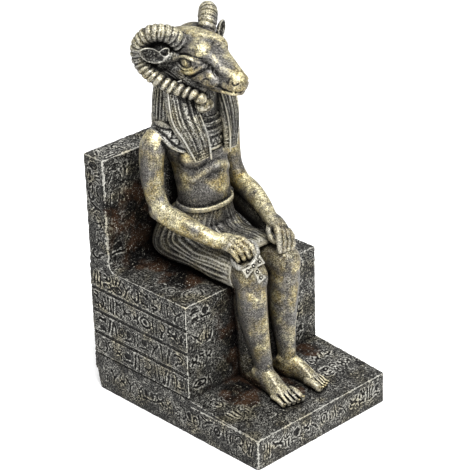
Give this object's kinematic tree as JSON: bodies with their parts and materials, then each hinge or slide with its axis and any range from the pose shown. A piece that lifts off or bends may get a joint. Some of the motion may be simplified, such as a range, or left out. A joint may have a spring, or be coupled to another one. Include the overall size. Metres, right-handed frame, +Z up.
{
  "type": "seated ram-headed god figurine",
  "caption": "Seated ram-headed figure with curled horns on a carved block throne with a tall back slab and a stepped base, cast as one ornament.",
  "frame": {"origin": "centre of the underside", "axes": "+Z up, the figure faces -Y, its right side is -X"},
  "size_m": [0.1024, 0.1348, 0.2251],
  "materials": {
    "antiqued_resin": "cold-cast resin, dark wash in the hollows, rubbed silver and gold on the high parts"
  },
  "bodies": {
    "root": {"figurine": "antiqued_resin"}
  },
  "joints": []
}
